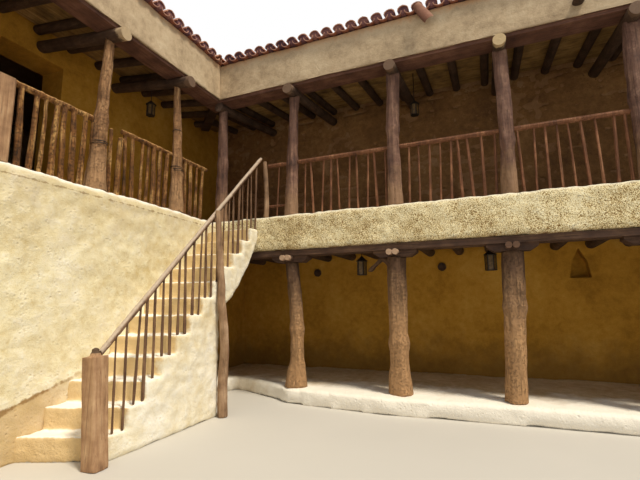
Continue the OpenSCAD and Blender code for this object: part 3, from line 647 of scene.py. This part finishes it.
rough_wood("portico_trunks", "portico_posts", post_wood, "post_wood", square=0.016, lump=0.036)
rough_wood("back_gallery_trunks", "back_gallery_posts", back_post_wood, "post_wood", square=0.016, lump=0.035)
left_trunks = rough_wood("left_gallery_trunks", "left_gallery_posts", left_post_wood, "post_wood",
                         square=0.016, lump=0.034, level=0.9)
poles = rough_wood("crooked_poles", "stair_poles", pole_wood, "post_wood", square=0.012, lump=0.014)
# the tall pole is bowed out to the right at thigh height
BOW_LOW, BOW_HIGH, BOW_BY, BOW_REACH = 0.85, 1.05, 0.045, 0.5
pick(poles, "vertices", lambda vert: BOW_LOW < vert.co.z < BOW_HIGH and vert.co.y > -1.2)
bpy.ops.transform.translate(value=(BOW_BY, 0, 0), use_proportional_edit=True, proportional_size=BOW_REACH,
                            proportional_edit_falloff="SMOOTH", use_proportional_connected=True)
leave_edit()
rough_wood("rough_newel", "stair_newel", newel_wood, "newel_wood", square=0.010, lump=0.008)
rough_wood("left_sticks", "left_railings", left_rail_wood, "rail_wood", square=0.0125, lump=0.020)
rough_wood("stair_sticks", "stair_railing", stair_rail_wood, "stair_rail_wood", square=0.011, lump=0.010)
bpy.data.objects.remove(GRAIN_FRAME)

# %% [markdown]
# ## Fired clay barrel tiles
# Each slope carries two layers of half-round tapered tiles: pans that lie open side up, and
# covers that bridge them. They were shaped over a thigh-wide former, so each one is a little
# wider at one end, and rows of them sit 20 cm apart. One tile is modelled from half a cylinder,
# tapered and given its 13 mm thickness, then two Array modifiers lay a whole slope.

# %% Tile material
def clay(name, underside_shade, dark, base, pale, lichen, pitch):
    """Every tile its own shade: position snapped to the tile pitch feeds a random colour."""
    made, tree = new_material(name)
    spot = add(tree, "TexCoord").outputs["Object"]
    cell = add(tree, "VectorMath", {"operation": "SNAP"}, {1: (pitch, pitch, 9.0)}, {0: spot})
    shade = add(tree, "TexWhiteNoise", {"noise_dimensions": "3D"}, links={0: cell})
    cloud = add(tree, "TexNoise", values={"Scale": 14.0, "Detail": 7.0, "Roughness": 0.7},
                links={"Vector": spot})
    both = add(tree, "Mix", values={0: 0.5}, links={2: shade, 3: cloud})
    tone = add(tree, "ValToRGB", {"stops": [(0.2, dark), (0.5, base), (0.8, pale)]}, links={0: both})
    lie = add(tree, "SeparateXYZ", links={0: add(tree, "NewGeometry").outputs["Normal"]})
    up = add(tree, "MapRange", values={1: 0.3, 2: 0.95}, links={0: lie.outputs["Z"]})
    grow = add(tree, "MapRange", values={1: 0.43, 2: 0.6}, links={0: cloud})
    grow = add(tree, "Math", TIMES, links={0: grow, 1: up})
    colour = add(tree, "Mix", COLOURS, {7: lichen}, {0: grow, 6: tone})
    # faces that look down are painted dark as the shade under each tile
    down = add(tree, "MapRange", values={1: 0.05, 2: -0.5, 3: 0.0, 4: 0.85}, links={0: lie.outputs["Z"]})
    colour = add(tree, "Mix", COLOURS, {7: underside_shade}, {0: down, 6: colour.outputs[2]})
    relief = add(tree, "Bump", values={"Strength": 0.5, "Distance": 0.006}, links={"Height": cloud})
    skin = add(tree, "BsdfPrincipled", values={"Roughness": 0.82, "IOR": 1.5, "Specular IOR Level": 0.3},
               links={"Base Color": colour.outputs[2], "Normal": relief})
    add(tree, "OutputMaterial", links={0: skin})
    return made


TILE_PITCH, COURSE = 0.20, 0.345
# orange-red clay, painted dark on its undersides as shade, bleached and grown with pale lichen on top
tile_clay = clay("fired_clay_tile", "#84503f", "#7c4432", "#a56049", "#c48764", "#d6c5ad", TILE_PITCH)
# the broken edge at each mouth is bare and pale
for court_way in (TO_COURT, TO_RIGHT):
    overlay(tile_clay, "#cda893", facing_mask(tile_clay.node_tree, court_way, 0.8, 0.97), strength=0.45)
print("tile clay made")

# %% One tile
# in metres, the narrow end's share of the wide end, and how much lower than a half circle it is
TILE_LONG, TILE_R, TILE_THICK, TAPER, FLATTEN = 0.44, 0.084, 0.013, 0.82, 0.78
cover = cylinder("cover_tile", vertices=12, radius=TILE_R, depth=TILE_LONG, end_fill_type="NOTHING")
pick(cover, "polygons", lambda face: face.center.z < 0)
bpy.ops.mesh.delete(type="FACE")
pick(cover, "vertices", lambda vert: vert.co.y > 0)
bpy.ops.transform.resize(value=(TAPER, 1, TAPER), center_override=(0, 0, 0))
bpy.ops.mesh.select_all(action="SELECT")
bpy.ops.transform.resize(value=(1, 1, FLATTEN), center_override=(0, 0, 0))
modify(cover, "SOLIDIFY", thickness=TILE_THICK, offset=-1)
face_outwards(cover)
print("tile faces:", len(cover.data.polygons))

# %% Tile fields
SLOPE = 0.15
# a cover lies a little flatter than the roof, because its narrow end goes under the next
TILT = math.atan(SLOPE)
COVER_TILT = TILT - 0.03
FASCIA_TOP, HALF_DEPTH, WALL_BACK = 5.535, 2.95, 5.9
BACK_END, LEFT_END, TILE_SMOOTH = 7.9, 6.0, 50
# how high the tiles lie over the roof's bed, and how far the outer eaves and the tiles run out
PAN_LIFT, COVER_LIFT, CAP_LIFT, EAVES_OUT, OVERHANG = 0.05, 0.054, 0.075, 0.25, 0.07
# the roof has settled in waves, and no two tiles are quite the same
settled, SETTLED_BY, TILE_UNEVEN = clouds("settled_roof", 0.7), 0.03, 0.004


def roof_top(m):
    return FASCIA_TOP + SLOPE * min(m, WALL_BACK - m)


def placed(piece, name, turn, tilt, place, flip=0.0):
    """A copy of a tile, turned over if it is a pan, tilted with the slope, turned and set down."""
    twin = copy_of(piece, name)
    matrix = Matrix.Rotation(turn, 4, "Z") @ Matrix.Rotation(tilt, 4, "X") @ Matrix.Rotation(flip, 4, "Y")
    twin.matrix_world = Matrix.Translation(place) @ matrix
    bpy.ops.object.transform_apply()
    return twin


def tile_slope(name, from_u, to_u, from_m, to_m, inner):
    """Lays one slope in the back wing's place: u along x, m along y."""
    columns = int((to_u - from_u) / TILE_PITCH)
    courses = int(abs(to_m - from_m) / COURSE) + 1
    turn, way = (0.0, 1) if inner else (math.pi, -1)
    half_tile = TILE_LONG / 2
    start = Vector((to_u - TILE_PITCH, from_m + way * half_tile, roof_top(from_m) + SLOPE * half_tile))
    pan = placed(cover, "pan", turn, TILT, start + Vector((0, 0, PAN_LIFT)), math.pi)
    top = placed(cover, "top", turn, COVER_TILT, start + Vector((TILE_PITCH / 2, 0, COVER_LIFT)))
    field = join([top, pan], name)
    repeat(field, (-TILE_PITCH, 0, 0), columns)
    repeat(field, (0, way * COURSE * math.cos(TILT), COURSE * math.sin(TILT)), courses)
    ripple(field, settled, SETTLED_BY, direction="Z")
    pick(field)
    bpy.ops.transform.vertex_random(offset=TILE_UNEVEN, seed=len(name))
    bpy.ops.mesh.select_all(action="SELECT")
    # the tiles overlap, so each cut is closed by itself and not by one fill over them all
    bpy.ops.mesh.bisect(plane_co=(0, 0, 0), plane_no=(1, 1, 0), clear_inner=True, use_fill=False)
    bpy.ops.mesh.select_all(action="SELECT")
    bpy.ops.mesh.fill_holes(sides=0)
    leave_edit()
    return field


def to_left_wing(piece):
    """The left wing is the back wing mirrored across the corner's diagonal."""
    activate(piece)
    piece.matrix_world = Matrix.Rotation(-math.pi / 2, 4, "Z") @ Matrix.Diagonal((1, -1, 1, 1))
    bpy.ops.object.transform_apply()
    return face_outwards(piece)


eaves_m = WALL_BACK + EAVES_OUT
spans = {"inner": (-HALF_DEPTH, -OVERHANG), "outer": (-eaves_m, eaves_m + OVERHANG)}
for wing, end in (("back", BACK_END), ("left", LEFT_END)):
    for side, (from_u, from_m) in spans.items():
        field = tile_slope(f"{wing}_{side}_tiles", from_u, end, from_m, HALF_DEPTH, side == "inner")
        if wing == "left":
            to_left_wing(field)
        coat(field, TILE_SMOOTH, tile_clay, "roof_tile")

# %% Ridge and hip caps
def cap_row(name, start, end):
    """A row of cover tiles along a ridge."""
    run = Vector(end) - Vector(start)
    turn = math.atan2(run.y, run.x) - math.pi / 2
    tilt = math.atan2(run.z, run.xy.length)
    cap = placed(cover, name, turn, tilt, Vector(start) + run.normalized() * TILE_LONG / 2)
    return repeat(cap, run.normalized() * COURSE, int(run.length / COURSE))


ridge_z = roof_top(HALF_DEPTH) + CAP_LIFT
corner = (-HALF_DEPTH, HALF_DEPTH, ridge_z)
hip_foot = (-eaves_m, eaves_m, roof_top(eaves_m) + CAP_LIFT)
caps = join([cap_row("back_caps", (BACK_END, HALF_DEPTH, ridge_z), corner),
             cap_row("left_caps", (-HALF_DEPTH, -LEFT_END, ridge_z), corner),
             cap_row("hip_caps", hip_foot, corner)], "ridge_caps")
coat(caps, TILE_SMOOTH, tile_clay, "roof_tile")

# %% [markdown]
# The lowest covers along the courtyard are stopped with mortar, so that birds and wind stay out:
# from below, each shows a dark half-moon. A plug is a short lying cylinder, flattened a little and
# dished in front, and an Array modifier puts one behind each cover's mouth.

# %% Mortar plugs, slipped tile and gutter
# mud mortar, painted dark purple-brown as the shade inside each cover's mouth
mortar = plaster("eaves_mortar_painted_shade", "#46303a", "#6c484c", "#93685c", 0.3)
# a plug's size and flattening, where it lies behind the fascia's face, and its dished front
PLUG_R, PLUG_LONG, PLUG_FLAT = TILE_R - 0.010, 0.22, 0.80
PLUG_IN, PLUG_LIFT, PLUG_RIM, PLUG_DISH = 0.060, 0.056, 0.012, 0.008


def plug_row(name, to_u, from_u, left):
    plug = cylinder(name, vertices=14, radius=PLUG_R, depth=PLUG_LONG)
    pick(plug, "polygons", lambda face: face.center.y < -0.1)
    bpy.ops.mesh.inset(thickness=PLUG_RIM, depth=PLUG_DISH)
    bpy.ops.mesh.select_all(action="SELECT")
    bpy.ops.transform.resize(value=(1, 1, PLUG_FLAT), center_override=(0, 0, 0))
    leave_edit()
    plug.location = (to_u - TILE_PITCH / 2, PLUG_IN, roof_top(0) + PLUG_LIFT)
    bpy.ops.object.transform_apply()
    repeat(plug, (-TILE_PITCH, 0, 0), int((to_u - from_u) / TILE_PITCH))
    ripple(plug, settled, SETTLED_BY, direction="Z")
    pick(plug)
    bpy.ops.transform.vertex_random(offset=TILE_UNEVEN, seed=4)
    leave_edit()
    if left:
        to_left_wing(plug)
    plug.data.materials.append(mortar)
    return settle(plug, "roof_tile")


plug_row("back_mortar_plugs", BACK_END, 0.1, False)
plug_row("left_mortar_plugs", LEFT_END, 0.1, True)
# one tile has slipped and hangs askew against the fascia
SLIP_AT, SLIP_TILT, SLIP_LEAN = (3.485, -0.10, 5.42), 1.35, -0.49
slipped = placed(cover, "slipped_tile", 0.0, SLIP_TILT, (0, 0, 0))
slipped.matrix_world = Matrix.Translation(SLIP_AT) @ Matrix.Rotation(SLIP_LEAN, 4, "Y")
bpy.ops.object.transform_apply()
# it hangs in the eaves' shade, and its clay is painted darker as that shade
shade_dark_slipped_clay = clay("slipped_tile_painted_shade", "#4c3029", "#59382b", "#774d3a", "#906551", "#9f816a", TILE_PITCH)
GUTTER_AT, GUTTER_TILT = (5.35, -0.13, 5.06), 0.16
gutter = placed(cover, "wooden_gutter", 0.0, GUTTER_TILT, GUTTER_AT, math.pi)
for piece, material, slot in ((slipped, shade_dark_slipped_clay, "roof_tile"), (gutter, dark_log_y, "dark_log_wood")):
    modify(piece, "SUBSURF", levels=1, render_levels=1)
    face_outwards(piece)
    piece.data.materials.append(material)
    settle(piece, slot)
bpy.data.objects.remove(cover)

# %% [markdown]
# ## Cane ceilings
# Under the earth of the roofs and of the gallery floor lie split canes, side by side across the
# logs. They are thin and many, so one cane is a six-sided rod with a few bends, and an Array
# modifier lays them up the slope.

# %% Canes
# split cane: straw-yellow gone ochre with smoke, shiny once and dull now
STRAW = ("#4a3620", "#8c6c3c", "#b38f5a")
cane_mat = wood("ochre_split_cane", *STRAW, "X", bump=0.3)
cane_mat_y = wood("ochre_split_cane_y", *STRAW, "Y", bump=0.3)
CANE_R, CANE_STEP, CANE_SAG, CANE_SHOWS, CANE_BENDS, CANE_SMOOTH = 0.013, 0.029, 0.02, 0.6, 12, 60


def cane_ceiling(name, from_u, to_u, from_m, to_m, low_z, slope, material, left=False):
    """Canes along u, laid from from_m to to_m, their backs on the ceiling at low_z + slope * m."""
    first_at = ((from_u + to_u) / 2, from_m, low_z + slope * from_m - CANE_R * CANE_SHOWS)
    canes = cylinder(name, (0, math.pi / 2, 0), vertices=6, radius=CANE_R, depth=to_u - from_u,
                     location=first_at)
    pick(canes, "edges", lambda edge: abs(canes.data.vertices[edge.vertices[0]].co.x
                                          - canes.data.vertices[edge.vertices[1]].co.x) > 0.5)
    bpy.ops.mesh.subdivide(number_cuts=CANE_BENDS)
    leave_edit()
    repeat(canes, (0, CANE_STEP, slope * CANE_STEP), int((to_m - from_m) / CANE_STEP))
    ripple(canes, LUMPS, CANE_SAG, direction="Z")
    if slope:
        pick(canes)
        bpy.ops.mesh.bisect(plane_co=(0, 0, 0), plane_no=(1, 1, 0), clear_inner=True, use_fill=True)
        leave_edit()
    if left:
        to_left_wing(canes)
    return coat(canes, CANE_SMOOTH, material, "roof_tile" if slope else "earth_floor")


# the roof's slab begins behind the fascia; its underside is run forward to m = 0
ROOF_BEGINS = 0.18
ROOF_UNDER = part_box("back_inner_roof")[0].z - SLOPE * ROOF_BEGINS
cane_ceiling("back_roof_canes", -2.0, 7.4, 0.20, 1.98, ROOF_UNDER, SLOPE, cane_mat)
cane_ceiling("left_roof_canes", -1.5, 5.5, 0.20, 1.48, ROOF_UNDER, SLOPE, cane_mat_y, left=True)
cane_ceiling("portico_canes", -0.65, 7.4, 0.32, 1.98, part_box("back_upper_floor")[0].z, 0.0, cane_mat)

# %% [markdown]
# ## Bare adobe on the back gallery wall
# The upper wall under the back gallery has lost its coat, or never had one: rows of sun-dried
# adobes with mud between them, brown and eroded. One adobe is a bevelled block, 36 by 10 cm. Array
# modifiers lay the courses, and a Remesh modifier wears them into one skin.

# %% Adobes
ADOBE_LONG, ADOBE_HIGH, JOINT, ADOBE_SQUARE = 0.36, 0.10, 0.018, 0.034
ADOBE_PROUD, ADOBE_EDGE, ADOBE_UNEVEN, ADOBE_LUMP, ADOBE_WAVE, TRIM = 0.034, 0.011, 0.010, 0.03, 0.04, 0.01
wall_low, wall_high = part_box("back_gallery_wall")
face_y = wall_low.y
bpy.ops.object.select_all(action="DESELECT")
first_at = (wall_low.x + ADOBE_LONG / 2, face_y, wall_low.z + ADOBE_HIGH / 2)
bpy.ops.mesh.primitive_cube_add(size=1, location=first_at)
adobe = new_piece("adobe_courses")
adobe.scale = (ADOBE_LONG, ADOBE_PROUD, ADOBE_HIGH)
bpy.ops.object.transform_apply()
edit_all()
bpy.ops.mesh.bevel(offset=ADOBE_EDGE, segments=1, affect="EDGES")
leave_edit()
half = copy_of(adobe, "next_course", (-(ADOBE_LONG + JOINT) / 2, 0, ADOBE_HIGH + JOINT))
adobe = join([adobe, half], "adobe_courses")
across = int((wall_high.x - wall_low.x) / (ADOBE_LONG + JOINT)) + 1
upward = int((wall_high.z - wall_low.z) / (2 * (ADOBE_HIGH + JOINT)))
repeat(adobe, (ADOBE_LONG + JOINT, 0, 0), across)
repeat(adobe, (0, 0, 2 * (ADOBE_HIGH + JOINT)), upward)
pick(adobe)
bpy.ops.transform.vertex_random(offset=ADOBE_UNEVEN, seed=3)
for edge_x, clear in ((wall_low.x + TRIM, "clear_inner"), (wall_high.x - TRIM, "clear_outer")):
    bpy.ops.mesh.select_all(action="SELECT")
    bpy.ops.mesh.bisect(plane_co=(edge_x, 0, 0), plane_no=(1, 0, 0), use_fill=True, **{clear: True})
leave_edit()
modify(adobe, "REMESH", mode="VOXEL", voxel_size=ADOBE_SQUARE)
ripple(adobe, LUMPS, ADOBE_LUMP)
ripple(adobe, WAVES, ADOBE_WAVE, direction="Y")
bpy.ops.object.shade_smooth()
# mud brown, eroded, with pale straw and dark pits
bare_adobe = plaster("sun_dried_adobe", "#62452a", "#84603a", "#a07a4e", 0.7)
adobe.data.materials.append(bare_adobe)
settle(adobe, "bare_adobe")

# %% [markdown]
# ## Sheet iron lanterns
# The four small lanterns are six-sided, with a peaked cap. The panes are inset in each side
# and pushed in a few millimetres, so that an iron frame is left round smoky glass.

# %% Lanterns
# dull black paint, worn through to brown rust; its blooms are 2 cm wide, coarser than real ones
iron, tree = new_material("dark_painted_sheet_iron")
spot = add(tree, "TexCoord").outputs["Object"]
rust = add(tree, "TexNoise", values={"Scale": 45.0, "Detail": 5.0}, links={"Vector": spot})
tone = add(tree, "ValToRGB", {"stops": [(0.35, "#231f1d"), (0.6, "#38302a"), (0.75, "#55402f")]},
           links={0: rust})
relief = add(tree, "Bump", values={"Strength": 0.3, "Distance": 0.002}, links={"Height": rust})
skin = add(tree, "BsdfPrincipled", values={"Roughness": 0.5, "Metallic": 0.4},
           links={"Base Color": tone, "Normal": relief})
add(tree, "OutputMaterial", links={0: skin})
# old glass, brown with smoke and dust, so that little of a gleam is left
glass, tree = new_material("smoky_lantern_glass")
spot = add(tree, "TexCoord").outputs["Object"]
haze = add(tree, "TexNoise", values={"Scale": 30.0, "Detail": 4.0}, links={"Vector": spot})
tone = add(tree, "ValToRGB", {"stops": [(0.35, "#4f3c1e"), (0.65, "#7c5f32")]}, links={0: haze})
skin = add(tree, "BsdfPrincipled", values={"Roughness": 0.4, "IOR": 1.5}, links={"Base Color": tone})
add(tree, "OutputMaterial", links={0: skin})
lamps = copy_of(frame["nodes"]["lanterns"], "iron_lanterns")
edit_all()
bpy.ops.mesh.remove_doubles(threshold=SAME_POINT)
bpy.ops.mesh.dissolve_limited(angle_limit=math.radians(2))
leave_edit()
lamps.data.materials.clear()
lamps.data.materials.append(iron)
lamps.data.materials.append(glass)
PANE_FRAME, PANE_EDGE, PANE_SUNK, PANE_LEAST, PANE_MOST = 0.011, 0.001, 0.006, 0.009, 0.03
pick(lamps, "polygons", lambda face: abs(face.normal.z) < 0.1 and PANE_LEAST < face.area < PANE_MOST)
bpy.ops.mesh.inset(thickness=PANE_FRAME, depth=0.0, use_individual=True)
bpy.ops.mesh.inset(thickness=PANE_EDGE, depth=-PANE_SUNK, use_individual=True)
lamps.active_material_index = 1
bpy.ops.object.material_slot_assign()
leave_edit()
settle(lamps, "lantern_iron", "lanterns")

# %% [markdown]
# ## Small fittings
# Two dark round dishes are let into the portico's wall, each a shallow bowl with a rolled rim.
# Rounds of twisted wire hold split posts of the left gallery together. A ring starts as a torus
# and is pulled out of true, because no post is quite round.

# %% Wall dishes
# nearly black fired clay, dusty where it faces up
dish_clay = clay("dark_glazed_dish", "#241a16", "#33241c", "#4a3528", "#6a5240", "#5a4636", 5.0)
DISH_R, DISH_DEEP, DISH_PROUD, DISH_SMOOTH, WALL_FACE = 0.072, 0.05, 0.012, 40, 2.0
dishes = []
for x, z in ((0.97, 1.99), (3.335, 2.01)):
    dish_at = (x, WALL_FACE - DISH_PROUD, z)
    dish = cylinder("dish", vertices=28, radius=DISH_R, depth=DISH_DEEP, location=dish_at)
    pick(dish, "polygons", lambda face: face.normal.y < -0.9)
    # a rolled rim, the bowl's steep side, then its flatter middle
    for wide, deep in ((0.012, 0.004), (0.012, -0.012), (0.022, -0.008)):
        bpy.ops.mesh.inset(thickness=wide, depth=deep)
    leave_edit()
    modify(dish, "BEVEL", width=0.003, segments=2, angle_limit=math.radians(35))
    dishes.append(dish)
coat(join(dishes, "wall_dishes"), DISH_SMOOTH, dish_clay, "lantern_iron")

# %% Wire rounds on the left posts
def trunk_at(y, z, slice_half=0.02, reach=0.3):
    """The middle of the trunk near y at height z, and its mean radius, from a thin slice."""
    near = [vert.co for vert in left_trunks.data.vertices
            if abs(vert.co.z - z) < slice_half and abs(vert.co.y - y) < reach]
    middle = sum(near, Vector()) / len(near)
    return Vector((middle.x, middle.y, z)), sum((spot - middle).xy.length for spot in near) / len(near)


WIRE, WIRE_KINK = 0.005, 0.006
rings = []
for y, z, lean in ((-2.16, 3.34, 0.1), (-2.16, 3.365, 0.05), (-0.86, 4.02, -0.1), (-0.86, 3.40, 0.12),
                   (-0.86, 3.425, 0.08), (-0.86, 3.45, -0.04)):
    middle, radius = trunk_at(y, z)
    bpy.ops.object.select_all(action="DESELECT")
    bpy.ops.mesh.primitive_torus_add(location=middle, rotation=(lean, lean / 2, 0), minor_radius=WIRE,
                                     major_radius=radius + WIRE, major_segments=28, minor_segments=6)
    ring = new_piece("ring")
    bpy.ops.object.transform_apply()
    ripple(ring, KNOTS, WIRE_KINK)
    rings.append(ring)
rings = join(rings, "wire_rounds")
face_outwards(rings)
bpy.ops.object.shade_smooth()
rings.data.materials.append(iron)
settle(rings, "lantern_iron")

added = sum(len(face.vertices) - 2 for piece in bpy.data.objects if piece.type == "MESH"
            and "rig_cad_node" not in piece and piece is not floor for face in piece.data.polygons)
print("triangles in the pieces made here:", added)
